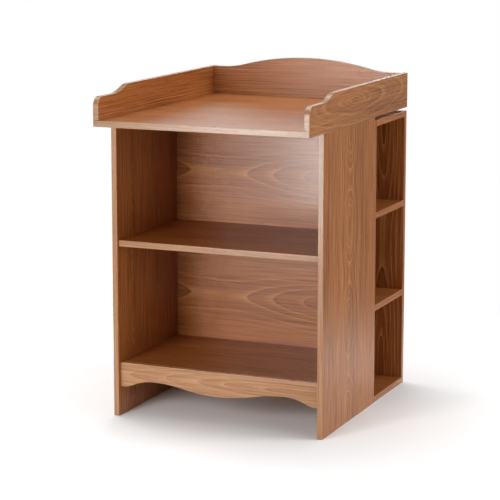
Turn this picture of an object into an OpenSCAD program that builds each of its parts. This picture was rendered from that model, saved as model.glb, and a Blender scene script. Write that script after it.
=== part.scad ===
// Changing table: an open cabinet with one shelf, a deep railed changing top on it,
// and two narrow shelf towers that stand behind the cabinet, under the top's overhang.
// +X is right, +Y is back, +Z is up. The origin is on the floor, under the top's centre.

/* [Changing top] */
// Width of the changing top, and of the cabinet under it
board_w = 650; // [600:10:750]
// Depth of the changing top, front to back
board_d = 812; // [804:4:860]
// Thickness of the changing top
board_t = 18; // [16:1:22]
// Height of the changing top's underside above the floor
board_z = 860; // [856:4:900]
// How far the top reaches forward of the cabinet
front_overhang = 108; // [90:2:110]
// Thickness of the plastic edging on the visible panel edges
band_t = 2; // [1:0.5:3]

/* [Rails] */
// Thickness of the side rails
rail_t = 16; // [14:1:18]
// Height of the side rails above the changing top
rail_h = 87; // [80:1:95]
// Height of the side rails at their front ends
rail_front_h = 66; // [60:1:70]
// Radius of the side rails' rounded front corner
rail_nose_r = 26; // [10:1:40]
// Distance from the front edge to the start of the rails' step
step_start = 96; // [60:1:140]
// Length of the rails' step from the low to the high part
step_l = 108; // [90:1:140]
// Radius of the step's upper, convex arc
step_r = 110; // [60:1:140]
// Thickness of the back rail
back_rail_t = 18; // [16:1:20]
// Distance from the top's rear edge to the back rail
back_rail_inset = 9; // [0:1:20]
// Rise of the back rail's hump above the side rails
hump_h = 35; // [20:1:60]
// Half of the hump's length
hump_half = 275; // [240:1:280]
// Radius of the hump's crown
hump_r = 815; // [500:5:900]

/* [Cabinet] */
// Depth of the cabinet's side panels
cab_d = 414; // [400:2:420]
// Thickness of the side panels
side_t = 16; // [16:1:20]
// Thickness of every shelf, stretcher and horizontal board
shelf_t = 18; // [16:1:20]
// Height of the middle shelf's upper face
mid_shelf_z = 519; // [420:1:600]
// Height of the bottom shelf's upper face
low_shelf_z = 157; // [130:1:180]
// Distance from the side panels' front edge to the middle shelf
shelf_setback = 9; // [4:1:20]
// Width of the two stretchers under the changing top
stretcher_w = 90; // [80:2:110]
// Thickness of the hardboard back panels
back_t = 3; // [3:0.5:4]
// Distance from the side panels' rear edge to the back panel
back_inset = 8.5; // [6:0.5:12]

/* [Apron] */
// Thickness of the apron
apron_t = 16; // [14:1:18]
// Distance from the side panels' front edge to the apron
apron_setback = 14; // [8:1:20]
// Depth of the apron at its middle lobe and at its two ends
apron_lobe_h = 72; // [66:1:78]
// Depth of the apron over its two arches
apron_arch_h = 50; // [44:1:54]
// Distance from the middle to the top of each arch
apron_arch_x = 205; // [190:1:215]
// Distance from the middle to the point where the end flattens out
apron_foot_x = 303; // [298:1:305]
// Radius of the middle lobe
apron_lobe_r = 520; // [300:5:600]
// Radius of the foot beside each end
apron_foot_r = 79; // [50:1:100]

/* [Shelf towers] */
// Height of the towers
tower_h = 850; // [800:2:852]
// Depth of the towers along the cabinet's depth
tower_d = 286; // [240:2:290]
// Reach of each tower from the cabinet's side towards its middle
tower_w = 300; // [240:2:320]
// Height of the upper shelf's upper face
tower_shelf_hi = 576; // [500:1:620]
// Height of the lower shelf's upper face
tower_shelf_lo = 298; // [240:1:340]

/* [Hidden] */
$fn = 48;

wood_color = "#A36A45";
edge_color = "#C08A62";
board_color = "#6B4B36";
steel_color = "#B9BBBD";
beech_color = "#D8B98C";

arc_steps = 16;        // straight pieces in each arc of a curved outline
eps = 0.1;             // overrun of a cut past the face that it opens
fit = 0.1;             // radial clearance between a fastener and its bore
inner_w = board_w - 2 * side_t;
half_in = inner_w / 2;
board_top = board_z + board_t;
cab_y = front_overhang - board_d / 2;
back_y = cab_y + cab_d - back_inset - back_t;
tower_y = cab_y + cab_d;
tower_x = board_w / 2 - tower_w;
tower_in_y = tower_y + side_t;
tower_in_d = tower_d - 2 * side_t;
groove_d = 6;
groove_play = 0.3;
back_tongue = 5;
back_top_gap = 2;

// Joinery: dowels, cam fittings, screws and nails
dowel_r = 4;
dowel_l = 30;
dowel_in_face = 10;
cam_r = 7.5;
cam_h = 12.8;
cam_offset = 24;
cam_slot_r = 3.9;
bolt_thread_r = 2.5;
bolt_thread_l = 11;
bolt_shaft_r = 2.8;
bolt_head_r = 3.5;
bolt_head_l = 3;
bolt_bore_r = 4;
screw_r = 2.5;
screw_head_r = 4.5;
screw_cone_l = 3;
nail_r = 0.7;
nail_l = 16;
nail_head_r = 1.6;
nail_head_l = 0.6;
fixing_margin = 55;    // from a shelf's front or rear edge to its cam fitting
dowel_step = 32;       // from a cam fitting to the dowel beside it

mid_y = cab_y + shelf_setback;
low_y = cab_y + apron_setback + apron_t;
front_stretcher_y = cab_y + 20;
rear_stretcher_y = back_y - stretcher_w;
mid_axis_z = mid_shelf_z - shelf_t / 2;
low_axis_z = low_shelf_z - shelf_t / 2;
stretcher_axis_z = board_z - shelf_t / 2;

// Each fixing between the cabinet's horizontals and a side panel, as [y, z]
CAB_CAMS = [
  [mid_y + fixing_margin, mid_axis_z],
  [back_y - fixing_margin, mid_axis_z],
  [low_y + fixing_margin, low_axis_z],
  [back_y - fixing_margin, low_axis_z],
  [front_stretcher_y + stretcher_w / 2, stretcher_axis_z],
  [rear_stretcher_y + stretcher_w / 2, stretcher_axis_z]
];
CAB_DOWELS = [
  [mid_y + fixing_margin + dowel_step, mid_axis_z],
  [back_y - fixing_margin - dowel_step, mid_axis_z],
  [low_y + fixing_margin + dowel_step, low_axis_z],
  [back_y - fixing_margin - dowel_step, low_axis_z],
  for (y = [front_stretcher_y, rear_stretcher_y], s = [-1, 1])
    [y + stretcher_w / 2 + s * dowel_step, stretcher_axis_z]
];

// Heights of the four horizontals of a tower, at the middle of their thickness
TOWER_LEVELS = [
  tower_h - shelf_t / 2, tower_shelf_hi - shelf_t / 2, tower_shelf_lo - shelf_t / 2, shelf_t / 2
];
tower_cam_x = [board_w / 2 - fixing_margin, tower_x + back_t + fixing_margin];
tower_dowel_x = [tower_cam_x[0] - dowel_step, tower_cam_x[1] + dowel_step];

// Places along Y of the screws and dowels between each side rail and the changing top
side_rail_screws = [-356, -170, 60, 300];
side_rail_dowels = [-310, -60, 190];
back_rail_screws = [-230, -80, 80, 230];
back_rail_dowels = [-155, 155];
rail_x = board_w / 2 - rail_t / 2;
back_rail_y = board_d / 2 - back_rail_inset - back_rail_t / 2;
rail_dowel_l = 32;
rail_dowel_in_board = 12;
rail_screw_l = 50;
board_screw_l = 30;
board_screw_x = [-210, -70, 70, 210];
board_dowel_y = [-240, 40];
apron_dowel_x = [-240, -80, 80, 240];
apron_dowel_in = 9;
apron_end_z = low_shelf_z - 38;
connector_z = [120, 430, 740];
connector_x = board_w / 2 - 6;
connector_l = 50;
nail_y = back_y + back_t;
cabinet_nail_x = [-240, -120, 0, 120, 240];
tower_wall_nails_z = [160, 440, 710];

// ---------------------------------------------------------------- shared shapes

// Draws its children on the right and again mirrored on the left
module mirrored() {
  for (m = [0, 1]) mirror([m, 0, 0]) children();
}

// Points of an arc about a centre, from one angle to another
function arc(centre, r, from, to) = [
  for (i = [0:arc_steps]) let (a = from + (to - from) * i / arc_steps)
    centre + r * [cos(a), sin(a)]
];

// Points of an ogee, an S-shaped edge of two arcs that meet smoothly. It leaves [x0, base]
// level, rises by h over the length l, which is negative towards -X, and ends level. r is the
// radius of its upper arc, and inset moves the edge inward, at right angles to itself.
function ogee(x0, l, base, h, r, inset = 0) =
  let (r_low = (l * l + h * h) / (2 * h) - r, turn = sign(l) * asin(abs(l) / (r_low + r)))
  concat(
    arc([x0, base + r_low], r_low + inset, -90, -90 + turn),
    drop_first(arc([x0 + l, base + h - r], r - inset, 90 + turn, 90)));

function drop_first(points) = [for (i = [1:len(points) - 1]) points[i]];
function drop_last(points) = [for (i = [0:len(points) - 2]) points[i]];

// The same points on the other side of the middle, in the opposite order
function mirror_back(points) = [for (i = [len(points) - 1:-1:0]) [-points[i].x, points[i].y]];

// Outline of a side rail seen from the right: along the depth, and up from the board
module rail_outline(inset = 0) {
  nose_r = rail_nose_r - inset;
  polygon(concat(
    [[board_d - inset, rail_h - inset], [board_d - inset, 0], [inset, 0]],
    arc([rail_nose_r, rail_front_h - rail_nose_r], nose_r, 180, 90),
    ogee(step_start, step_l, rail_front_h, rail_h - rail_front_h, step_r, inset)));
}

// Outline of the back rail seen from the front
module back_rail_outline(inset = 0) {
  left = ogee(-hump_half, hump_half, rail_h, hump_h, hump_r, inset);
  polygon(concat(
    [[half_in, rail_h - inset], [half_in, 0], [-half_in, 0], [-half_in, rail_h - inset]],
    left, drop_first(mirror_back(left))));
}

// Outline of the apron seen from the front, hung down from its top edge
module apron_outline() {
  rise = apron_lobe_h - apron_arch_h;
  foot_l = apron_foot_x - apron_arch_x;
  lobe = ogee(-apron_arch_x, apron_arch_x, apron_arch_h, rise, apron_lobe_r);
  foot = ogee(apron_arch_x, foot_l, apron_arch_h, rise, apron_foot_r);
  right = concat(mirror_back(lobe), drop_first(foot), [[half_in, apron_lobe_h], [half_in, 0]]);
  mirror([0, 1]) polygon(concat(right, drop_last(mirror_back(right))));
}

// Stands an outline in the depth-height plane up as a plate of thickness t, from x upward
module plate_along_y(x, t) {
  translate([x, -board_d / 2, board_top]) rotate([90, 0, 90]) linear_extrude(t) children();
}

// Stands an outline in the width-height plane up as a plate from y, t thick
module plate_along_x(y, z, t) {
  translate([0, y + t, z]) rotate([90, 0, 0]) linear_extrude(t) children();
}

// A panel from one corner to the opposite one
module panel(low, high) {
  translate(low) cube(high - low);
}

// ---------------------------------------------------------------- fasteners
// Each is drawn along +Z with the joint's face at the origin; play widens it into its bore.

// Dowel that goes depth into the piece above the joint
module dowel(depth, length = dowel_l, play = 0) {
  extra = play > 0 ? 1 : 0;
  translate([0, 0, depth - length - extra]) cylinder(r = dowel_r + play, h = length + 2 * extra);
}

// Cam bolt: thread above the joint, shaft and head below it
module cam_bolt() {
  cylinder(r = bolt_thread_r, h = bolt_thread_l);
  translate([0, 0, -cam_offset]) cylinder(r = bolt_shaft_r, h = cam_offset);
  translate([0, 0, -cam_offset]) cylinder(r = bolt_head_r, h = bolt_head_l);
}

module cam_bolt_bore() {
  translate([0, 0, -eps]) cylinder(r = bolt_thread_r + fit, h = bolt_thread_l + 1 + eps);
  translate([0, 0, -cam_offset - 1]) cylinder(r = bolt_bore_r, h = cam_offset + 1);
}

// Countersunk screw: its head is flush with the joint's face, and its point is up
module screw(length, play = 0) {
  drop = play > 0 ? eps : 0;
  translate([0, 0, -drop]) cylinder(r = screw_r + play, h = length + 2 * drop);
  cylinder(r1 = screw_head_r + play, r2 = screw_r, h = screw_cone_l);
  translate([0, 0, -drop]) cylinder(r = screw_head_r + play, h = drop + eps);
}

// Nail: its head lies on the panel below the origin, and its point is up
module nail(play = 0) {
  cylinder(r = nail_r + play, h = nail_l + play);
  if (play == 0) translate([0, 0, -nail_head_l]) cylinder(r = nail_head_r, h = nail_head_l);
}

// Places children at the cabinet's side joints, with +Z out into the side panel
module at_cab_joints(points) {
  mirrored() for (p = points) translate([half_in, p[0], p[1]]) rotate([0, 90, 0]) children();
}

// Cam locks of the cabinet, in pockets in the undersides of its horizontals
module at_cab_cams() {
  mirrored() for (p = CAB_CAMS) translate([half_in - cam_offset, p[0], p[1]]) children();
}

// Places children at the right tower's joints, with +Z out into the rear or the front wall
module at_tower_joints(xs) {
  for (x = xs, z = TOWER_LEVELS) {
    translate([x, tower_y + tower_d - side_t, z]) rotate([-90, 0, 0]) children();
    translate([x, tower_in_y, z]) rotate([90, 0, 0]) children();
  }
}

// Cam locks of the right tower; the children's slot faces +Y, towards the rear wall
module at_tower_cams() {
  for (x = tower_cam_x, z = TOWER_LEVELS) {
    translate([x, tower_y + tower_d - side_t - cam_offset, z]) children();
    translate([x, tower_in_y + cam_offset, z]) mirror([0, 1, 0]) children();
  }
}

// Cam lock around the bolt's axis, with a slot towards +X for the bolt's head
module cam_lock() {
  difference() {
    translate([0, 0, -shelf_t / 2]) cylinder(r = cam_r, h = cam_h);
    rotate([0, 90, 0]) translate([0, 0, -1]) cylinder(r = cam_slot_r, h = cam_r + 2);
  }
}

module cam_pocket() {
  translate([0, 0, -shelf_t / 2 - eps]) cylinder(r = cam_r + fit, h = cam_h + fit + eps);
}

// Rail screws: up through the changing top into the rails
module at_rail_screws() {
  mirrored() for (y = side_rail_screws) translate([rail_x, y, board_z]) children();
  for (x = back_rail_screws) translate([x, back_rail_y, board_z]) children();
}

module rail_dowel_set(play = 0) {
  depth = rail_dowel_l - rail_dowel_in_board;
  mirrored() for (y = side_rail_dowels)
    translate([rail_x, y, board_top]) dowel(depth, rail_dowel_l, play);
  for (x = back_rail_dowels)
    translate([x, back_rail_y, board_top]) dowel(depth, rail_dowel_l, play);
  mirrored() translate([half_in, back_rail_y, board_top + rail_h / 2])
    rotate([0, 90, 0]) dowel(dowel_in_face, dowel_l, play);
}

// Board screws: up through the two stretchers into the changing top
module at_board_screws() {
  for (x = board_screw_x, y = [front_stretcher_y, rear_stretcher_y])
    translate([x, y + stretcher_w / 2, board_z - shelf_t]) children();
}

module board_dowel_set(play = 0) {
  mirrored() for (y = board_dowel_y)
    translate([board_w / 2 - side_t / 2, y, board_z]) dowel(dowel_in_face, dowel_l, play);
}

// Apron dowels: into the bottom shelf's front edge, and into the side panels
module apron_dowel_set(play = 0) {
  for (x = apron_dowel_x)
    translate([x, low_y, low_axis_z]) rotate([90, 0, 0]) dowel(apron_dowel_in, dowel_l, play);
  mirrored() translate([half_in, low_y - apron_t / 2, apron_end_z])
    rotate([0, 90, 0]) dowel(dowel_in_face, dowel_l, play);
}

// Connector screws: from inside each tower, through its front wall, into the side panels
module at_connectors() {
  mirrored() for (z = connector_z)
    translate([connector_x, tower_in_y, z]) rotate([90, 0, 0]) children();
}

// Nails through the cabinet's back panel and through the towers' back panels
module at_cabinet_nails() {
  for (x = cabinet_nail_x, z = [mid_axis_z, low_axis_z, stretcher_axis_z])
    translate([x, nail_y, z]) rotate([90, 0, 0]) children();
}

module at_tower_nails() {
  mirrored() {
    for (z = TOWER_LEVELS, f = [0.2, 0.5, 0.8])
      translate([tower_x, tower_in_y + f * tower_in_d, z]) rotate([0, 90, 0]) children();
    for (z = tower_wall_nails_z, y = [tower_y + side_t / 2, tower_y + tower_d - side_t / 2])
      translate([tower_x, y, z]) rotate([0, 90, 0]) children();
  }
}

// ---------------------------------------------------------------- changing top

module changing_board() {
  color(wood_color) difference() {
    panel([-board_w / 2 + band_t, -board_d / 2 + band_t, board_z],
          [board_w / 2 - band_t, board_d / 2 - band_t, board_top]);
    at_rail_screws() screw(rail_screw_l, fit);
    rail_dowel_set(fit);
    at_board_screws() screw(board_screw_l, fit);
    board_dowel_set(fit);
  }
}

module board_edge_band() {
  color(edge_color) translate([0, 0, board_z]) linear_extrude(board_t) difference() {
    square([board_w, board_d], center = true);
    square([board_w - 2 * band_t, board_d - 2 * band_t], center = true);
  }
}

module right_rail_blank() {
  difference() {
    plate_along_y(half_in, rail_t) rail_outline(band_t);
    at_rail_screws() screw(rail_screw_l, fit);
    rail_dowel_set(fit);
  }
}

module right_rail_band_blank() {
  plate_along_y(half_in, rail_t) difference() {
    rail_outline();
    rail_outline(band_t);
  }
}

module left_rail() {
  color(wood_color) mirror([1, 0, 0]) right_rail_blank();
}

module left_rail_edge_band() {
  color(edge_color) mirror([1, 0, 0]) right_rail_band_blank();
}

module right_rail() {
  color(wood_color) right_rail_blank();
}

module right_rail_edge_band() {
  color(edge_color) right_rail_band_blank();
}

module back_rail() {
  color(wood_color) difference() {
    plate_along_x(back_rail_y - back_rail_t / 2, board_top, back_rail_t) back_rail_outline(band_t);
    at_rail_screws() screw(rail_screw_l, fit);
    rail_dowel_set(fit);
  }
}

module back_rail_edge_band() {
  color(edge_color) plate_along_x(back_rail_y - back_rail_t / 2, board_top, back_rail_t)
    difference() {
      back_rail_outline();
      back_rail_outline(band_t);
    }
}

// ---------------------------------------------------------------- cabinet

module right_side_blank() {
  difference() {
    panel([half_in, cab_y + band_t, 0], [board_w / 2, cab_y + cab_d, board_z]);
    panel([half_in - eps, back_y - groove_play / 2, low_shelf_z - shelf_t],
          [half_in + groove_d, back_y + back_t + groove_play / 2, board_z + eps]);
    at_cab_joints(CAB_CAMS) cam_bolt_bore();
    at_cab_joints(CAB_DOWELS) dowel(dowel_in_face, dowel_l, fit);
    board_dowel_set(fit);
    apron_dowel_set(fit);
    at_connectors() screw(connector_l, fit);
  }
}

module left_side_panel() {
  color(wood_color) mirror([1, 0, 0]) right_side_blank();
}

module right_side_panel() {
  color(wood_color) right_side_blank();
}

module side_panel_edge_bands() {
  color(edge_color) mirrored()
    panel([half_in, cab_y, 0], [board_w / 2, cab_y + band_t, board_z]);
}

// Horizontal of the cabinet from y0 to y1, with its top face at z
module cab_horizontal(y0, y1, z) {
  difference() {
    panel([-half_in, y0, z - shelf_t], [half_in, y1, z]);
    at_cab_joints(CAB_CAMS) cam_bolt_bore();
    at_cab_joints(CAB_DOWELS) dowel(dowel_in_face, dowel_l, fit);
    at_cab_cams() cam_pocket();
    at_cabinet_nails() nail(fit);
    at_board_screws() screw(board_screw_l, fit);
    apron_dowel_set(fit);
  }
}

module middle_shelf() {
  color(wood_color) cab_horizontal(mid_y + band_t, back_y, mid_shelf_z);
}

module middle_shelf_edge_band() {
  color(edge_color) panel([-half_in, mid_y, mid_shelf_z - shelf_t],
                          [half_in, mid_y + band_t, mid_shelf_z]);
}

module bottom_shelf() {
  color(wood_color) cab_horizontal(low_y, back_y, low_shelf_z);
}

module apron() {
  color(wood_color) difference() {
    plate_along_x(low_y - apron_t, low_shelf_z, apron_t) apron_outline();
    apron_dowel_set(fit);
  }
}

module cabinet_back() {
  reach = half_in + back_tongue;
  color(board_color) difference() {
    panel([-reach, back_y, low_shelf_z - shelf_t],
          [reach, back_y + back_t, board_z - back_top_gap]);
    at_cabinet_nails() nail(fit);
  }
}

module front_stretcher() {
  color(wood_color)
    cab_horizontal(front_stretcher_y, front_stretcher_y + stretcher_w, board_z);
}

module rear_stretcher() {
  color(wood_color) cab_horizontal(rear_stretcher_y, back_y, board_z);
}

// ---------------------------------------------------------------- shelf towers
// Every tower blank is drawn for the right tower; the left tower's are its mirror images.

module tower_wall_blank(y) {
  difference() {
    panel([tower_x + back_t, y, 0], [board_w / 2 - band_t, y + side_t, tower_h]);
    at_tower_joints(tower_cam_x) cam_bolt_bore();
    at_tower_joints(tower_dowel_x) dowel(dowel_in_face, dowel_l, fit);
    at_connectors() screw(connector_l, fit);
    at_tower_nails() nail(fit);
  }
}

module tower_front_wall_blank() {
  tower_wall_blank(tower_y);
}

module tower_rear_wall_blank() {
  tower_wall_blank(tower_y + tower_d - side_t);
}

// Horizontal of the tower at one of its levels
module tower_horizontal_blank(level) {
  z = TOWER_LEVELS[level];
  difference() {
    panel([tower_x + back_t, tower_in_y, z - shelf_t / 2],
          [board_w / 2 - band_t, tower_in_y + tower_in_d, z + shelf_t / 2]);
    at_tower_joints(tower_cam_x) cam_bolt_bore();
    at_tower_joints(tower_dowel_x) dowel(dowel_in_face, dowel_l, fit);
    at_tower_cams() cam_pocket();
    at_tower_nails() nail(fit);
  }
}

module tower_back_blank() {
  difference() {
    panel([tower_x, tower_y, 0], [tower_x + back_t, tower_y + tower_d, tower_h]);
    at_tower_nails() nail(fit);
  }
}

module tower_bands_blank() {
  outer = board_w / 2;
  for (y = [tower_y, tower_y + tower_d - side_t])
    panel([outer - band_t, y, 0], [outer, y + side_t, tower_h]);
  for (z = TOWER_LEVELS)
    panel([outer - band_t, tower_in_y, z - shelf_t / 2],
          [outer, tower_in_y + tower_in_d, z + shelf_t / 2]);
}

module left_tower_front_wall() {
  color(wood_color) mirror([1, 0, 0]) tower_front_wall_blank();
}

module left_tower_rear_wall() {
  color(wood_color) mirror([1, 0, 0]) tower_rear_wall_blank();
}

module left_tower_top() {
  color(wood_color) mirror([1, 0, 0]) tower_horizontal_blank(0);
}

module left_tower_upper_shelf() {
  color(wood_color) mirror([1, 0, 0]) tower_horizontal_blank(1);
}

module left_tower_lower_shelf() {
  color(wood_color) mirror([1, 0, 0]) tower_horizontal_blank(2);
}

module left_tower_bottom() {
  color(wood_color) mirror([1, 0, 0]) tower_horizontal_blank(3);
}

module left_tower_back() {
  color(board_color) mirror([1, 0, 0]) tower_back_blank();
}

module left_tower_edge_bands() {
  color(edge_color) mirror([1, 0, 0]) tower_bands_blank();
}

module right_tower_front_wall() {
  color(wood_color) tower_front_wall_blank();
}

module right_tower_rear_wall() {
  color(wood_color) tower_rear_wall_blank();
}

module right_tower_top() {
  color(wood_color) tower_horizontal_blank(0);
}

module right_tower_upper_shelf() {
  color(wood_color) tower_horizontal_blank(1);
}

module right_tower_lower_shelf() {
  color(wood_color) tower_horizontal_blank(2);
}

module right_tower_bottom() {
  color(wood_color) tower_horizontal_blank(3);
}

module right_tower_back() {
  color(board_color) tower_back_blank();
}

module right_tower_edge_bands() {
  color(edge_color) tower_bands_blank();
}

// ---------------------------------------------------------------- hardware groups

module rail_screws() {
  color(steel_color) at_rail_screws() screw(rail_screw_l);
}

module rail_dowels() {
  color(beech_color) rail_dowel_set();
}

module board_screws() {
  color(steel_color) at_board_screws() screw(board_screw_l);
}

module board_dowels() {
  color(beech_color) board_dowel_set();
}

module cabinet_cam_bolts() {
  color(steel_color) at_cab_joints(CAB_CAMS) cam_bolt();
}

module cabinet_cam_locks() {
  color(steel_color) at_cab_cams() cam_lock();
}

module cabinet_dowels() {
  color(beech_color) at_cab_joints(CAB_DOWELS) dowel(dowel_in_face);
}

module apron_dowels() {
  color(beech_color) apron_dowel_set();
}

module tower_cam_bolts() {
  color(steel_color) mirrored() at_tower_joints(tower_cam_x) cam_bolt();
}

module tower_cam_locks() {
  color(steel_color) mirrored() at_tower_cams() rotate([0, 0, 90]) cam_lock();
}

module tower_dowels() {
  color(beech_color) mirrored() at_tower_joints(tower_dowel_x) dowel(dowel_in_face);
}

module tower_connector_screws() {
  color(steel_color) at_connectors() screw(connector_l);
}

module back_panel_nails() {
  color(steel_color) {
    at_cabinet_nails() nail();
    at_tower_nails() nail();
  }
}

changing_board();
board_edge_band();
left_rail();
left_rail_edge_band();
right_rail();
right_rail_edge_band();
back_rail();
back_rail_edge_band();
left_side_panel();
right_side_panel();
side_panel_edge_bands();
middle_shelf();
middle_shelf_edge_band();
bottom_shelf();
apron();
cabinet_back();
front_stretcher();
rear_stretcher();
left_tower_front_wall();
left_tower_rear_wall();
left_tower_top();
left_tower_upper_shelf();
left_tower_lower_shelf();
left_tower_bottom();
left_tower_back();
left_tower_edge_bands();
right_tower_front_wall();
right_tower_rear_wall();
right_tower_top();
right_tower_upper_shelf();
right_tower_lower_shelf();
right_tower_bottom();
right_tower_back();
right_tower_edge_bands();
rail_screws();
rail_dowels();
board_screws();
board_dowels();
cabinet_cam_bolts();
cabinet_cam_locks();
cabinet_dowels();
apron_dowels();
tower_cam_bolts();
tower_cam_locks();
tower_dowels();
tower_connector_screws();
back_panel_nails();
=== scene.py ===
"""Looks of the changing table: rounded edges, wood decor, edge banding, fittings, light and camera."""
import math

import bpy
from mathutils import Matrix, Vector


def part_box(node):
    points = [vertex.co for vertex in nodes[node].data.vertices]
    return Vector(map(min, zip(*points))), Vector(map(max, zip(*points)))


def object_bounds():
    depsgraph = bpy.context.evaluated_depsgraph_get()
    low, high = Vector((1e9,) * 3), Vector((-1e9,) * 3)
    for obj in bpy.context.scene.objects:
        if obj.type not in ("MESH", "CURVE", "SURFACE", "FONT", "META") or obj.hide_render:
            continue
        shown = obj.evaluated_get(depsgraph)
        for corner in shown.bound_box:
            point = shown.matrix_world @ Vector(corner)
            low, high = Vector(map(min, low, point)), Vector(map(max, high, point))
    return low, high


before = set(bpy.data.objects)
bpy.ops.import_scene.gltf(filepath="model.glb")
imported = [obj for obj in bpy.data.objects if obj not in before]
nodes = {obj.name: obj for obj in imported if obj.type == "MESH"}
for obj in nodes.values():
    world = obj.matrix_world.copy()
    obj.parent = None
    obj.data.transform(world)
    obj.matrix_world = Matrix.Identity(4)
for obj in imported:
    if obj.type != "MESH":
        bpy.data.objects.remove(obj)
cad_low, cad_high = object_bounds()

MM = 0.001
X, Y, Z = 0, 1, 2


# ---------------------------------------------------------------- node helpers

class Tree:
    """Adds nodes to one tree. An input may be a number, a tuple or another node's output."""

    def __init__(self, tree):
        self.tree = tree

    def put(self, socket, value):
        if isinstance(value, bpy.types.NodeSocket):
            self.tree.links.new(value, socket)
        else:
            socket.default_value = value

    def node(self, kind, inputs=(), **settings):
        made = self.tree.nodes.new(kind)
        for name, value in settings.items():
            setattr(made, name, value)
        for key, value in dict(inputs).items():
            self.put(made.inputs[key], value)
        return made

    def math(self, operation, *values):
        return self.node("ShaderNodeMath", enumerate(values), operation=operation).outputs[0]

    def add(self, a, b):
        return self.math("ADD", a, b)

    def times(self, a, b):
        return self.math("MULTIPLY", a, b)

    def vector(self, x, y, z):
        return self.node("ShaderNodeCombineXYZ", enumerate((x, y, z))).outputs[0]

    def split(self, vector):
        return self.node("ShaderNodeSeparateXYZ", {0: vector}).outputs

    def scaled(self, vector, factor):
        return self.node("ShaderNodeVectorMath", {0: vector, 3: factor}, operation="SCALE").outputs[0]

    def noise(self, vector, detail=2.0, roughness=0.5):
        """Noise between about 0.2 and 0.8, centred on 0.5, with features about one unit wide."""
        inputs = {"Vector": vector, "Scale": 1.0, "Detail": detail, "Roughness": roughness}
        return self.node("ShaderNodeTexNoise", inputs).outputs[0]

    def swing(self, vector, amount, detail=2.0, roughness=0.5):
        """The same noise, centred on 0 and scaled by amount."""
        return self.times(self.math("SUBTRACT", self.noise(vector, detail, roughness), 0.5), amount)

    def remap(self, value, low, high, to_low=0.0, to_high=1.0):
        inputs = {"Value": value, "From Min": low, "From Max": high, "To Min": to_low, "To Max": to_high}
        return self.node("ShaderNodeMapRange", inputs, interpolation_type="SMOOTHSTEP").outputs[0]

    def ramp(self, factor, stops):
        """Colour stops, as {position: (red, green, blue)}, or grey stops, as {position: level}."""
        made = self.node("ShaderNodeValToRGB", {0: factor})
        elements = made.color_ramp.elements
        for place in list(stops)[2:]:
            elements.new(place)
        for element, (place, colour) in zip(elements, sorted(stops.items())):
            element.position = place
            element.color = (*colour, 1.0) if isinstance(colour, tuple) else (colour, colour, colour, 1.0)
        return made.outputs[0]

    def mix(self, factor, a, b, blend="MIX"):
        made = self.node("ShaderNodeMix", data_type="RGBA", blend_type=blend)
        self.put(made.inputs[0], factor)
        self.put(made.inputs[6], a if not isinstance(a, tuple) else (*a, 1.0))
        self.put(made.inputs[7], b if not isinstance(b, tuple) else (*b, 1.0))
        return made.outputs[2]


# ---------------------------------------------------------------- wood

WOOD_INPUTS = {
    "Board": "Vector",        # metres from the figure's heart, along and across the grain
    "Spacing": "Float",       # distance between growth rings
    "Cut": "Float",           # how far from the log's heart the board is cut, where it is furthest
    "Period": "Float",        # distance along the grain between two places where the cut meets the heart
    "Wander": "Float",        # how far the grain drifts sideways
    "Seed": "Float",          # gives each board a figure of its own
    "Eye reach": "Float",     # half the length of the eye at the figure's heart
    "Eye width": "Float",     # half its width
    "Fine": "Float",          # strength of the fine streaks
    "Streaks": "Float",       # broad streaks in a metre across the grain
    "Figure": "Float",        # strength of the growth rings
    "Dark": "Float",          # strength of the rings' dark lines, beside that of the light ones
    "Lift": "Float",          # added to the tone, to make the whole board paler
}

# how the figure is drawn
BLUNTNESS = 1.9           # 2 gives the rings round ends, and less gives them pointed ones
UNEVEN_CUT = 0.16         # how far the cut's depth strays from an even wave
CLEAR_RINGS = 45 * MM     # the rings are clear this near to the heart,
FAINT_RINGS = 140 * MM    # faint from here on,
FAINT = 0.30              # and this strong there
HEART = 20 * MM           # radius of the dark heart inside the rings
HEART_TONE = -0.12
# grey levels across one ring: its dark line, its light one, and the fall back to the middle
RING_PROFILE = {0.0: 0.42, 0.09: 0.22, 0.16: 0.84, 0.30: 0.68, 0.52: 0.50, 1.0: 0.42}
# what each layer adds to the tone
RING_SHARE, CLOUD_SHARE = 0.62, 0.45
STREAK_SHARE, FIBRE_SHARE, HAIR_SHARE = 0.80, 0.85, 0.30
FIBRES_TO_STREAKS = 2.4   # fibres are this much finer than streaks


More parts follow.
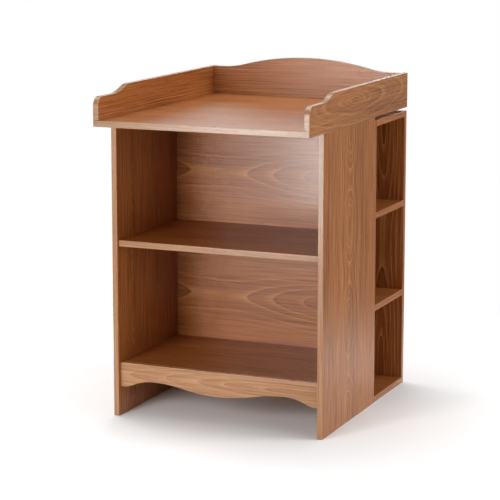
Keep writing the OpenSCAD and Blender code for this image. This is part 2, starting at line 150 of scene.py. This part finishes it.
def wood_group():
    """One node group that turns a place on a board into its tone, its fibre, its pores and a slow cloud."""
    group = bpy.data.node_groups.new("wood_figure", "ShaderNodeTree")
    for name, kind in WOOD_INPUTS.items():
        group.interface.new_socket(name, in_out="INPUT", socket_type=f"NodeSocket{kind}")
    for name in ("Tone", "Fibre", "Pore", "Cloud"):
        group.interface.new_socket(name, in_out="OUTPUT", socket_type="NodeSocketFloat")
    t = Tree(group)
    given = t.node("NodeGroupInput").outputs
    along, across, _ = t.split(given["Board"])
    seed = given["Seed"]

    def stretched(per_metre_along, per_metre_across, shift=0.0):
        layer = t.add(seed, shift)
        return t.vector(t.times(along, per_metre_along), t.times(across, per_metre_across), layer)

    # the grain drifts slowly and ripples a little
    drift = t.times(t.swing(stretched(2.2, 6.0), 1.0), given["Wander"])
    ripple = t.swing(stretched(9.0, 50.0, 5.0), 4 * MM)
    side = t.add(t.add(across, drift), ripple)

    # the board runs nearer to and further from the heart of the log, which makes cathedral figures
    turn = t.times(t.math("DIVIDE", along, given["Period"]), math.tau)
    wave = t.math("MULTIPLY_ADD", t.math("COSINE", turn), -0.5, 0.5)
    stray = t.swing(stretched(7.0, 3.0, 11.0), UNEVEN_CUT)
    depth = t.times(t.add(wave, stray), given["Cut"])

    # an eye closes the innermost rings around the figure's heart, as long ovals
    eye_along = t.math("DIVIDE", along, given["Eye reach"])
    fall = t.math("EXPONENT", t.times(t.times(eye_along, eye_along), -1.0))
    eye = t.times(t.math("SQRT", t.math("SUBTRACT", 1.0, fall)), given["Eye width"])
    depth = t.add(t.math("ABSOLUTE", depth), eye)
    powers = t.add(t.math("POWER", t.math("ABSOLUTE", side), BLUNTNESS), t.math("POWER", depth, BLUNTNESS))
    radius = t.math("POWER", powers, 1 / BLUNTNESS)

    # rings of uneven width and strength, with the dark lines weighed apart from the light ones
    rings = t.math("DIVIDE", radius, given["Spacing"])
    uneven = t.node("ShaderNodeTexNoise",
                    {"W": t.add(t.times(rings, 0.55), seed), "Scale": 1.0, "Detail": 1.0},
                    noise_dimensions="1D").outputs[0]
    rings = t.add(uneven, rings)
    ring_number = t.add(t.math("FLOOR", rings), seed)
    strength = t.node("ShaderNodeTexWhiteNoise", {"W": ring_number}, noise_dimensions="1D").outputs[0]
    profile = t.ramp(t.math("FRACT", rings), RING_PROFILE)
    ring = t.times(t.math("SUBTRACT", profile, 0.5), t.math("MULTIPLY_ADD", strength, 0.60, 0.55))
    ring = t.times(ring, t.remap(radius, CLEAR_RINGS, FAINT_RINGS, 1.0, FAINT))
    dark_line, light_line = t.math("MINIMUM", ring, 0.0), t.math("MAXIMUM", ring, 0.0)
    ring = t.math("MULTIPLY_ADD", dark_line, given["Dark"], light_line)
    ring = t.math("MULTIPLY_ADD", t.remap(radius, 0.0, HEART, HEART_TONE, 0.0), given["Dark"], ring)

    # layers of streaks, from broad to fine, and what lies over them
    streak = t.noise(stretched(1.8, given["Streaks"], 13.0), detail=3.0, roughness=0.74)
    fibres = t.times(given["Streaks"], FIBRES_TO_STREAKS)
    fibre = t.noise(stretched(6.0, fibres, 17.0), detail=3.0, roughness=0.6)
    hair = t.noise(stretched(20.0, 2200.0, 23.0), detail=2.0, roughness=0.6)
    cloud = t.noise(stretched(1.3, 8.0, 31.0), detail=2.0, roughness=0.5)
    pore = t.remap(t.noise(stretched(70.0, 2400.0, 41.0), detail=1.0, roughness=0.5), 0.58, 0.68)

    tone = t.math("MULTIPLY_ADD", t.times(ring, given["Figure"]), RING_SHARE, 0.5)
    for part, share in ((streak, STREAK_SHARE), (fibre, FIBRE_SHARE), (hair, HAIR_SHARE)):
        weighed = t.times(t.math("SUBTRACT", part, 0.5), share)
        tone = t.math("MULTIPLY_ADD", weighed, given["Fine"], tone)
    tone = t.math("MULTIPLY_ADD", t.math("SUBTRACT", cloud, 0.5), CLOUD_SHARE, tone)
    t.node("NodeGroupOutput", {"Tone": t.add(tone, given["Lift"]),
                               "Fibre": t.times(t.add(fibre, hair), 0.5), "Pore": pore, "Cloud": cloud})
    return group


WOOD = wood_group()

# colours from the darkest tone to the palest, of the boards and of their paler banding
WOOD_STOPS = {0.0: (0.084, 0.019, 0.004), 0.28: (0.195, 0.054, 0.011), 0.50: (0.330, 0.107, 0.025),
              0.74: (0.440, 0.178, 0.054), 1.0: (0.550, 0.280, 0.115)}
PALE_STOPS = {0.0: (0.132, 0.050, 0.016), 0.30: (0.226, 0.098, 0.035), 0.55: (0.310, 0.151, 0.063),
              1.0: (0.420, 0.238, 0.115)}


def tinted(stops, *tint):
    """The same stops with their red, green and blue scaled."""
    return {place: tuple(c * k for c, k in zip(colour, tint)) for place, colour in stops.items()}


# the decor's colour differs a little from board to board, and some copies paint light and shade: redder or
# darker ones for boards in shade, a paler, yellower one for a lit rail
# a paler, yellower copy for the lit right rail: painted light
LIT_OLIVE_STOPS = tinted(WOOD_STOPS, 0.98, 1.06, 1.12)
SIDE_STOPS = tinted(WOOD_STOPS, 0.95, 1.00, 0.97)
# a redder copy for the middle shelf, which stands in shade: painted shade
SHADED_SHELF_STOPS = tinted(WOOD_STOPS, 0.98, 0.93, 0.87)
# a darker, yellower copy for the back panel, deep in the cabinet: painted shade
SHADED_BACK_STOPS = tinted(WOOD_STOPS, 0.89, 0.86, 0.73)
# a redder copy for boards that stand in shade: painted shade
SHADED_RED_STOPS = tinted(WOOD_STOPS, 1.0, 0.96, 0.94)
RAIL_EDGE_STOPS = tinted(PALE_STOPS, 0.87, 0.92, 0.94)
HARDBOARD = ((0.20, 0.115, 0.060), (0.34, 0.215, 0.125))
CLOUD_TINT = (1.04, 0.90, 0.82)
PORE_COLOUR, PORE_STRENGTH = (0.060, 0.018, 0.007), 0.40
WORN = (0.50, 0.27, 0.12)
FELT_IN_METRE, RUBS_IN_METRE = 700.0, 40.0    # features in the hardboard's felt and in the corners' wear
# what the fibres, the wear, the felt and the pores add to the roughness
FIBRE_ROUGHNESS, WEAR_ROUGHNESS, FELT_ROUGHNESS, PORE_ROUGHNESS = 0.25, 0.15, 0.4, 0.2
SPECULAR, COAT, COAT_ROUGHNESS = 0.42, 0.12, 0.24
SIDEWAYS = 0.7            # a face whose normal leans this far along X looks sideways


def new_material(name):
    """A material with an empty tree, the Tree that adds to it, and its Principled shader."""
    material = bpy.data.materials.new(name)
    material.use_nodes = True
    material.node_tree.nodes.clear()
    t = Tree(material.node_tree)
    shader = t.node("ShaderNodeBsdfPrincipled")
    t.node("ShaderNodeOutputMaterial", {"Surface": shader.outputs[0]})
    return material, t, shader


def wood_material(name, grain, face, heart, stops=WOOD_STOPS, edge_stops=None, roughness=0.29, shine=1.0,
                  spacing=11 * MM, cut=55 * MM, period=0.9, wander=25 * MM, seed=0.0,
                  eye_reach=100 * MM, eye_width=0.0, fine=1.0, streaks=130.0, figure=1.0, dark=1.0,
                  lift=0.0, repeat=None, corners=None, crossed=None, bare=None):
    """Wood decor whose grain runs along one axis of the table, on the faces across another axis.
    heart is the figure's middle, in the table's frame.
    edge_stops colour the faces that don't look sideways.
    roughness is the surface's, and shine scales the strength of its reflections.
    repeat is the stretch across the grain, from the heart, after which the print starts again.
    corners is the axis that the rounded, slightly rubbed corners turn away from, where it isn't face.
    crossed is a stretch across the grain in which the grain runs that way instead.
    bare is the direction, 1 or -1 along the face's axis, of a side that shows plain hardboard.
    The others are the node group's own inputs."""
    material, t, shader = new_material(name)
    coordinates = t.node("ShaderNodeTexCoord").outputs
    place, normal = coordinates["Object"], coordinates["Normal"]
    from_heart = t.node("ShaderNodeVectorMath", {0: place, 1: tuple(heart)}, operation="SUBTRACT")
    axes = t.split(from_heart.outputs[0])
    along, across = axes[grain], axes[3 - grain - face]
    if repeat:
        across = t.math("WRAP", across, repeat[1], repeat[0])
    if crossed:
        middle, half = sum(crossed) / 2 - heart[3 - grain - face], (crossed[1] - crossed[0]) / 2
        turned = t.math("COMPARE", across, middle, half)
        turn = t.times(turned, t.math("SUBTRACT", across, along))
        along, across = t.add(along, turn), t.math("SUBTRACT", across, turn)
    board = t.vector(t.add(along, axes[face]), across, 0.0)
    inputs = {"Board": board, "Spacing": spacing, "Cut": cut, "Period": period, "Wander": wander,
              "Seed": seed, "Eye reach": eye_reach, "Eye width": eye_width, "Fine": fine,
              "Streaks": streaks, "Figure": figure, "Dark": dark, "Lift": lift}
    wood = t.node("ShaderNodeGroup", node_tree=WOOD)
    for key, value in inputs.items():
        t.put(wood.inputs[key], value)
    tone, fibre, pore, cloud = wood.outputs

    colour = t.ramp(tone, stops)
    if edge_stops:
        outer = t.math("LESS_THAN", t.math("ABSOLUTE", t.split(normal)[X]), SIDEWAYS)
        colour = t.mix(outer, colour, t.ramp(tone, edge_stops))
    colour = t.mix(t.remap(cloud, 0.35, 0.70, 0.0, 0.45), colour, CLOUD_TINT, "MULTIPLY")
    colour = t.mix(t.times(pore, PORE_STRENGTH), colour, PORE_COLOUR)

    if bare:
        back = t.math("GREATER_THAN", t.times(t.split(normal)[face], bare), 0.5)
        felt = t.noise(t.scaled(place, FELT_IN_METRE), detail=5.0, roughness=0.7)
        colour = t.mix(back, colour, t.mix(t.remap(felt, 0.3, 0.7), *HARDBOARD))

    # rounded corners are rubbed a little paler and duller, here and there
    facing = t.split(normal)[face if corners is None else corners]
    facing = t.times(facing, facing)
    corner = t.times(t.times(facing, t.math("SUBTRACT", 1.0, facing)), 4.0)
    rub = t.noise(t.scaled(place, RUBS_IN_METRE), detail=3.0, roughness=0.6)
    worn = t.times(corner, t.remap(rub, 0.35, 0.65, 0.15, 0.60))
    t.put(shader.inputs["Base Color"], t.mix(worn, colour, WORN))

    rough = t.math("MULTIPLY_ADD", t.math("SUBTRACT", fibre, 0.5), FIBRE_ROUGHNESS, roughness)
    rough = t.math("MULTIPLY_ADD", worn, WEAR_ROUGHNESS, rough)
    if bare:
        rough = t.math("MULTIPLY_ADD", back, FELT_ROUGHNESS, rough)
    t.put(shader.inputs["Roughness"], t.math("MULTIPLY_ADD", pore, PORE_ROUGHNESS, rough))
    height = t.math("SUBTRACT", t.math("MULTIPLY_ADD", fibre, 0.5, t.times(tone, 0.4)), pore)
    bump = t.node("ShaderNodeBump", {"Height": height, "Strength": 0.5, "Distance": 0.12 * MM})
    t.put(shader.inputs["Normal"], bump.outputs[0])
    shader.inputs["Specular IOR Level"].default_value = SPECULAR * shine
    shader.inputs["Coat Weight"].default_value = COAT * shine
    shader.inputs["Coat Roughness"].default_value = COAT_ROUGHNESS
    return material


def inside(name, along, across, grain, face):
    """A place in a CAD node's box, at these shares of its length along the grain and across it."""
    low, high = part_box(name)
    place = (low + high) / 2
    for axis, share in ((grain, along), (3 - grain - face, across)):
        place[axis] = low[axis] + share * (high[axis] - low[axis])
    return place


def finish_with(name, material):
    """The CAD node shows this material and nothing else."""
    slots = nodes[name].data.materials
    slots.clear()
    slots.append(material)


# ---------------------------------------------------------------- panels

# grain axis, axis across the visible faces, the shares of the panel's length and width at which the figure
# has its heart, and what else is special about the panel's figure
# some panels take tinted copies of the decor that paint light and shade, as said where the copies are made
PANELS = {
    "changing_board": (X, Z, 0.75, 0.45, dict(cut=50 * MM, period=1.6, seed=3.0, fine=1.3)),
    "left_rail": (Y, X, 0.2, -0.6, dict(stops=SHADED_RED_STOPS, spacing=7 * MM, cut=30 * MM, period=1.8,
                                        wander=18 * MM, seed=7.0, streaks=200.0, fine=1.1, lift=0.03)),
    "right_rail": (Y, X, 0.441, 0.60, dict(stops=LIT_OLIVE_STOPS, spacing=10 * MM, cut=85 * MM, period=1.6,
                                           wander=8 * MM, seed=12.0, eye_reach=78 * MM, eye_width=21 * MM,
                                           fine=0.8, dark=0.6, lift=0.03)),
    "back_rail": (X, Y, 0.60, -0.1, dict(spacing=8 * MM, cut=70 * MM, period=1.7, wander=10 * MM,
                                         seed=15.0, lift=0.07)),
    "left_side_panel": (Z, X, 0.40, 0.24, dict(stops=SHADED_RED_STOPS, spacing=9 * MM, cut=36 * MM, period=0.44,
                                               wander=20 * MM, seed=19.0, streaks=100.0, figure=1.5)),
    "right_side_panel": (Z, X, 0.36, 0.50, dict(stops=SIDE_STOPS, spacing=12 * MM, cut=50 * MM, period=0.27,
                                                wander=24 * MM, seed=23.0, streaks=90.0, figure=1.8,
                                                shine=0.8)),
    "middle_shelf": (X, Z, 0.2, 0.3, dict(stops=SHADED_SHELF_STOPS, cut=50 * MM, period=1.6, seed=27.0,
                                          shine=0.1)),
    "bottom_shelf": (X, Z, 0.8, 0.6, dict(cut=50 * MM, period=1.6, seed=31.0, shine=0.1)),
    "apron": (X, Y, 1.0, 0.55, dict(stops=PALE_STOPS, spacing=9 * MM, cut=45 * MM, period=1.5,
                                    wander=8 * MM, seed=35.0, fine=1.2, figure=1.5)),
    "cabinet_back": (X, Y, 1.02, 0.744, dict(stops=SHADED_BACK_STOPS, spacing=16 * MM, cut=63.1 * MM, period=0.99,
                                             wander=14 * MM, seed=39.0, streaks=160.0, fine=0.9, figure=1.4,
                                             dark=0.6, roughness=0.21, shine=1.25,
                                             repeat=(-164 * MM, 215 * MM), bare=1)),
    "front_stretcher": (X, Z, 0.3, 0.5, dict(seed=43.0)),
    "rear_stretcher": (X, Z, 0.6, 0.5, dict(seed=47.0)),
}
TOWER_PANELS = {
    "front_wall": (Z, Y, 0.4, 0.6), "rear_wall": (Z, Y, 1.045, 0.78), "top": (X, Z, 0.2, 0.5),
    "upper_shelf": (X, Z, 0.2, 0.4), "lower_shelf": (X, Z, 0.6, 0.6), "bottom": (X, Z, 0.4, 0.3),
    "back": (Z, X, 0.5, 0.5),
}
SEED_STEP = 4             # seeds this far apart share no figure
for side, first_seed in (("left", 60.0), ("right", 100.0)):
    for number, (part, (grain, face, along, across)) in enumerate(TOWER_PANELS.items()):
        if side == "left" and grain == Z and face == Y:
            across = 1 - across
        look = dict(spacing=10 * MM, cut=40 * MM, wander=12 * MM, seed=first_seed + SEED_STEP * number)
        if part == "rear_wall":
            look.update(spacing=12 * MM, cut=35 * MM, figure=2.0, dark=0.8)
        if part == "top":
            look.update(roughness=0.55, shine=0.05)
        # upright tower walls take the redder copy: painted shade
        if grain == Z:
            look["stops"] = SHADED_RED_STOPS
        if part == "back":
            look["bare"] = 1 if side == "left" else -1
        PANELS[f"{side}_tower_{part}"] = (grain, face, along, across, look)

for name, (grain, face, along, across, look) in PANELS.items():
    heart = inside(name, along, across, grain, face)
    finish_with(name, wood_material(f"decor_{name}", grain, face, heart, **look))

# the cores that each band is glued to, and the axis that its rounded corners turn away from
BANDS = {
    "board_edge_band": (["changing_board"], Z),
    "left_rail_edge_band": (["left_rail"], X),
    "right_rail_edge_band": (["right_rail"], X),
    "back_rail_edge_band": (["back_rail"], Y),
    "side_panel_edge_bands": (["left_side_panel", "right_side_panel"], X),
    "middle_shelf_edge_band": (["middle_shelf"], Z),
}
for side in ("left", "right"):
    cores = [f"{side}_tower_{part}" for part in ("front_wall", "rear_wall", "top", "upper_shelf",
                                                 "lower_shelf", "bottom")]
    BANDS[f"{side}_tower_edge_bands"] = (cores, X)

BAND_ROUGHNESS = 0.28
EDGE_SHINE = 1.25         # of the banding on the changing board, the rails and the side panels

# the changing board's banding carries the rails' print on, and the others have a plain print of their own
BAND_PRINTS = {"board_edge_band": "right_rail", "right_rail_edge_band": "right_rail",
               "left_rail_edge_band": "left_rail", "back_rail_edge_band": "back_rail"}
for number, (name, (cores, corners)) in enumerate(BANDS.items()):
    if name in BAND_PRINTS:
        grain, face, along, across, look = PANELS[BAND_PRINTS[name]]
        look = dict(look, edge_stops=RAIL_EDGE_STOPS, shine=EDGE_SHINE)
        heart = inside(BAND_PRINTS[name], along, across, grain, face)
    else:
        grain, face = {"middle_shelf_edge_band": (X, Y), "side_panel_edge_bands": (Z, Y)}.get(name, (Z, X))
        heart = inside(name, 0.5, 0.5, grain, face)
        look = dict(edge_stops=PALE_STOPS, spacing=5 * MM, cut=0.0, wander=4 * MM,
                    seed=200.0 + SEED_STEP * number)
        if name == "side_panel_edge_bands":
            look["shine"] = EDGE_SHINE
        if "tower" in name:
            walls = [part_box(core) for core in cores[:2]]
            look["crossed"] = (walls[0][1].y, walls[1][0].y)
    finish_with(name, wood_material(f"banding_{name}", grain, face, heart, roughness=BAND_ROUGHNESS,
                                    corners=corners, **look))


# ---------------------------------------------------------------- fittings

def metal_material(name, colour, roughness, grain_size):
    """Bare or plated metal with a faint mottle and small dents."""
    material, t, shader = new_material(name)
    place = t.node("ShaderNodeTexCoord").outputs["Object"]
    mottle = t.noise(t.scaled(place, 1 / grain_size), detail=4.0, roughness=0.6)
    dark = tuple(0.72 * c for c in colour)
    t.put(shader.inputs["Base Color"], t.mix(t.remap(mottle, 0.3, 0.7), dark, colour))
    t.put(shader.inputs["Roughness"], t.remap(mottle, 0.25, 0.75, roughness - 0.08, roughness + 0.12))
    bump = t.node("ShaderNodeBump", {"Height": mottle, "Strength": 0.4, "Distance": 0.05 * MM})
    t.put(shader.inputs["Normal"], bump.outputs[0])
    shader.inputs["Metallic"].default_value = 1.0
    return material


BEECH_STOPS = {0.0: (0.42, 0.27, 0.15), 0.5: (0.60, 0.42, 0.26), 1.0: (0.72, 0.55, 0.38)}
zinc_steel = metal_material("zinc_plated_steel", (0.62, 0.61, 0.57), 0.30, 2.5 * MM)
zinc_alloy = metal_material("zinc_alloy", (0.46, 0.46, 0.47), 0.45, 1.2 * MM)
for name in ("rail_screws", "board_screws", "cabinet_cam_bolts", "tower_cam_bolts",
             "tower_connector_screws", "back_panel_nails"):
    finish_with(name, zinc_steel)
for name in ("cabinet_cam_locks", "tower_cam_locks"):
    finish_with(name, zinc_alloy)
for name, grain in (("rail_dowels", Z), ("board_dowels", Z), ("cabinet_dowels", X), ("apron_dowels", X),
                    ("tower_dowels", Y)):
    face = Y if grain != Y else X
    heart = inside(name, 0.5, 0.5, grain, face)
    finish_with(name, wood_material(f"beech_{name}", grain, face, heart, stops=BEECH_STOPS, roughness=0.6,
                                    spacing=2 * MM, cut=0.0, wander=1 * MM, seed=300.0, fine=0.5))


# ---------------------------------------------------------------- rounded edges

CORNER = math.radians(30)     # edges that bend more than this are corners
GLUE_REACH = 0.5 * MM         # a band's edge this near to its core is glued to it
PANEL_ROUNDING, APRON_ROUNDING, BAND_ROUNDING = 0.3 * MM, 1.2 * MM, 1.3 * MM


def rounding_tree(name, cores):
    """Geometry nodes that weigh a band's free edges for the bevel, and keep its glued edges sharp."""
    group = bpy.data.node_groups.new(f"round_{name}", "GeometryNodeTree")
    group.interface.new_socket("Geometry", in_out="INPUT", socket_type="NodeSocketGeometry")
    group.interface.new_socket("Geometry", in_out="OUTPUT", socket_type="NodeSocketGeometry")
    t = Tree(group)
    shape = t.node("NodeGroupInput").outputs[0]
    joined = t.node("GeometryNodeJoinGeometry")
    for core in cores:
        core_shape = t.node("GeometryNodeObjectInfo", {"Object": nodes[core]}).outputs["Geometry"]
        t.put(joined.inputs[0], core_shape)
    nearest = t.node("GeometryNodeProximity", {0: joined.outputs[0]}, target_element="FACES")
    is_corner = t.math("GREATER_THAN", t.node("GeometryNodeInputMeshEdgeAngle").outputs[0], CORNER)
    is_free = t.math("GREATER_THAN", nearest.outputs["Distance"], GLUE_REACH)
    weight = t.times(is_corner, is_free)
    smooth = t.node("GeometryNodeSetShadeSmooth", {0: shape, "Shade Smooth": True},
                    domain="FACE").outputs[0]
    glued = t.math("GREATER_THAN", is_corner, weight)
    sharp = t.node("GeometryNodeSetShadeSmooth", {0: smooth, 1: glued, "Shade Smooth": False},
                   domain="EDGE").outputs[0]
    stored = t.node("GeometryNodeStoreNamedAttribute",
                    {0: sharp, "Name": "bevel_weight_edge", "Value": weight},
                    data_type="FLOAT", domain="EDGE").outputs[0]
    t.node("NodeGroupOutput", {0: stored})
    return group


def soften(name, width, segments, cores=None):
    """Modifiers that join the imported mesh's faces, round its edges and even out its shading."""
    node = nodes[name]
    weld = node.modifiers.new("join_faces", "WELD")
    weld.merge_threshold = 0.01 * MM
    flat = node.modifiers.new("one_face_per_plane", "DECIMATE")
    flat.decimate_type = "DISSOLVE"
    flat.angle_limit = math.radians(0.5)
    if cores:
        pick = node.modifiers.new("pick_free_edges", "NODES")
        pick.node_group = rounding_tree(name, cores)
    bevel = node.modifiers.new("rounded_edges", "BEVEL")
    bevel.width = width
    bevel.segments = segments
    bevel.use_clamp_overlap = False
    bevel.limit_method = "WEIGHT" if cores else "ANGLE"
    bevel.angle_limit = CORNER
    even = node.modifiers.new("even_shading", "WEIGHTED_NORMAL")
    even.keep_sharp = True


for name in PANELS:
    if name == "apron":
        soften(name, APRON_ROUNDING, segments=3)
    else:
        soften(name, PANEL_ROUNDING, segments=1)
for name, (cores, _) in BANDS.items():
    soften(name, BAND_ROUNDING, segments=3, cores=cores)


# ---------------------------------------------------------------- studio

def area_light(name, place, aim, size, power):
    """A rectangular lamp that the camera doesn't see."""
    data = bpy.data.lights.new(name, "AREA")
    data.shape = "RECTANGLE"
    data.size, data.size_y = size
    data.energy = power
    light = bpy.data.objects.new(name, data)
    light.location = place
    light.visible_camera = False
    light.rotation_euler = (aim - place).to_track_quat("-Z", "Y").to_euler()
    bpy.context.scene.collection.objects.link(light)


FLOOR_GAP = 0.5 * MM          # keeps the floor's face apart from the panels' lower ends


def make_floor(radius, solid):
    """A pale floor, solid this near to the table, that fades into the backdrop out to its radius."""
    mesh = bpy.data.meshes.new("floor")
    corners = [(-radius, -radius, 0), (radius, -radius, 0), (radius, radius, 0), (-radius, radius, 0)]
    mesh.from_pydata(corners, [], [(0, 1, 2, 3)])
    floor = bpy.data.objects.new("floor", mesh)
    bpy.context.scene.collection.objects.link(floor)
    material, t, shader = new_material("studio_floor")
    place = t.node("ShaderNodeTexCoord").outputs["Object"]
    speck = t.noise(place, detail=3.0, roughness=0.5)
    t.put(shader.inputs["Base Color"], t.mix(speck, (0.88, 0.88, 0.88), (0.92, 0.92, 0.92)))
    shader.inputs["Roughness"].default_value = 0.9
    distance = t.node("ShaderNodeVectorMath", {0: place}, operation="LENGTH").outputs["Value"]
    t.put(shader.inputs["Alpha"], t.remap(distance, solid, radius, 1.0, 0.0))
    mesh.materials.append(material)
    floor.location.z = cad_low.z - FLOOR_GAP


make_floor(radius=1.8, solid=0.65)


def make_world(ambient, backdrop):
    """Even grey light from all round; the camera alone sees the brighter backdrop."""
    world = bpy.data.worlds.new("studio")
    bpy.context.scene.world = world
    world.use_nodes = True
    t = Tree(world.node_tree)
    seen = t.node("ShaderNodeLightPath").outputs["Is Camera Ray"]
    background = world.node_tree.nodes["Background"]
    t.put(background.inputs["Color"], (1.0, 1.0, 1.0, 1.0))
    t.put(background.inputs["Strength"], t.math("MULTIPLY_ADD", seen, backdrop - ambient, ambient))


make_world(ambient=0.24, backdrop=1.0)

# each lamp's place from the table's middle, its width and height, and its power in watts
LAMPS = {
    "front_softbox": ((-0.90, -4.3, 0.9), (2.2, 1.8), 104),
    "front_strip": ((-0.50, -2.0, 0.03), (0.45, 0.8), 15.5),
    "top_softbox": ((-0.6, 0.4, 3.0), (2.6, 2.6), 84),
    "right_softbox": ((3.8, 0.9, 1.9), (2.0, 2.0), 102),
    "low_right_softbox": ((4.0, -1.4, 0.5), (1.8, 1.8), 35),
    "rear_softbox": ((-2.3, 4.6, 1.4), (2.6, 1.8), 16),
    "left_softbox": ((-4.0, 1.6, 0.9), (2.0, 2.0), 45),
    "low_rear_softbox": ((-0.9, 4.6, 0.1), (1.6, 1.2), 30),
}
centre = (cad_low + cad_high) / 2
for name, (place, size, power) in LAMPS.items():
    area_light(name, centre + Vector(place), centre, size, power)

scene = bpy.context.scene
scene.view_settings.view_transform = "Standard"


# ---------------------------------------------------------------- camera

AZIMUTH = math.radians(23.36)
ELEVATION = math.radians(9.55)
DISTANCE = 5.72
AIM = centre + Vector((-40, 9, 79)) * MM
SENSOR, FOCAL_LENGTH = 36.0, 139.3    # mm
SHIFT_X, SHIFT_Y = 0.009, -0.080

camera_data = bpy.data.cameras.new("camera")
camera_data.sensor_width = SENSOR
camera_data.lens = FOCAL_LENGTH
camera_data.shift_x = SHIFT_X
camera_data.shift_y = SHIFT_Y
camera = bpy.data.objects.new("camera", camera_data)
back = Vector((math.sin(AZIMUTH) * math.cos(ELEVATION), -math.cos(AZIMUTH) * math.cos(ELEVATION),
               math.sin(ELEVATION)))
camera.location = AIM + back * DISTANCE
camera.rotation_euler = (-back).to_track_quat("-Z", "Y").to_euler()
scene.collection.objects.link(camera)
scene.camera = camera
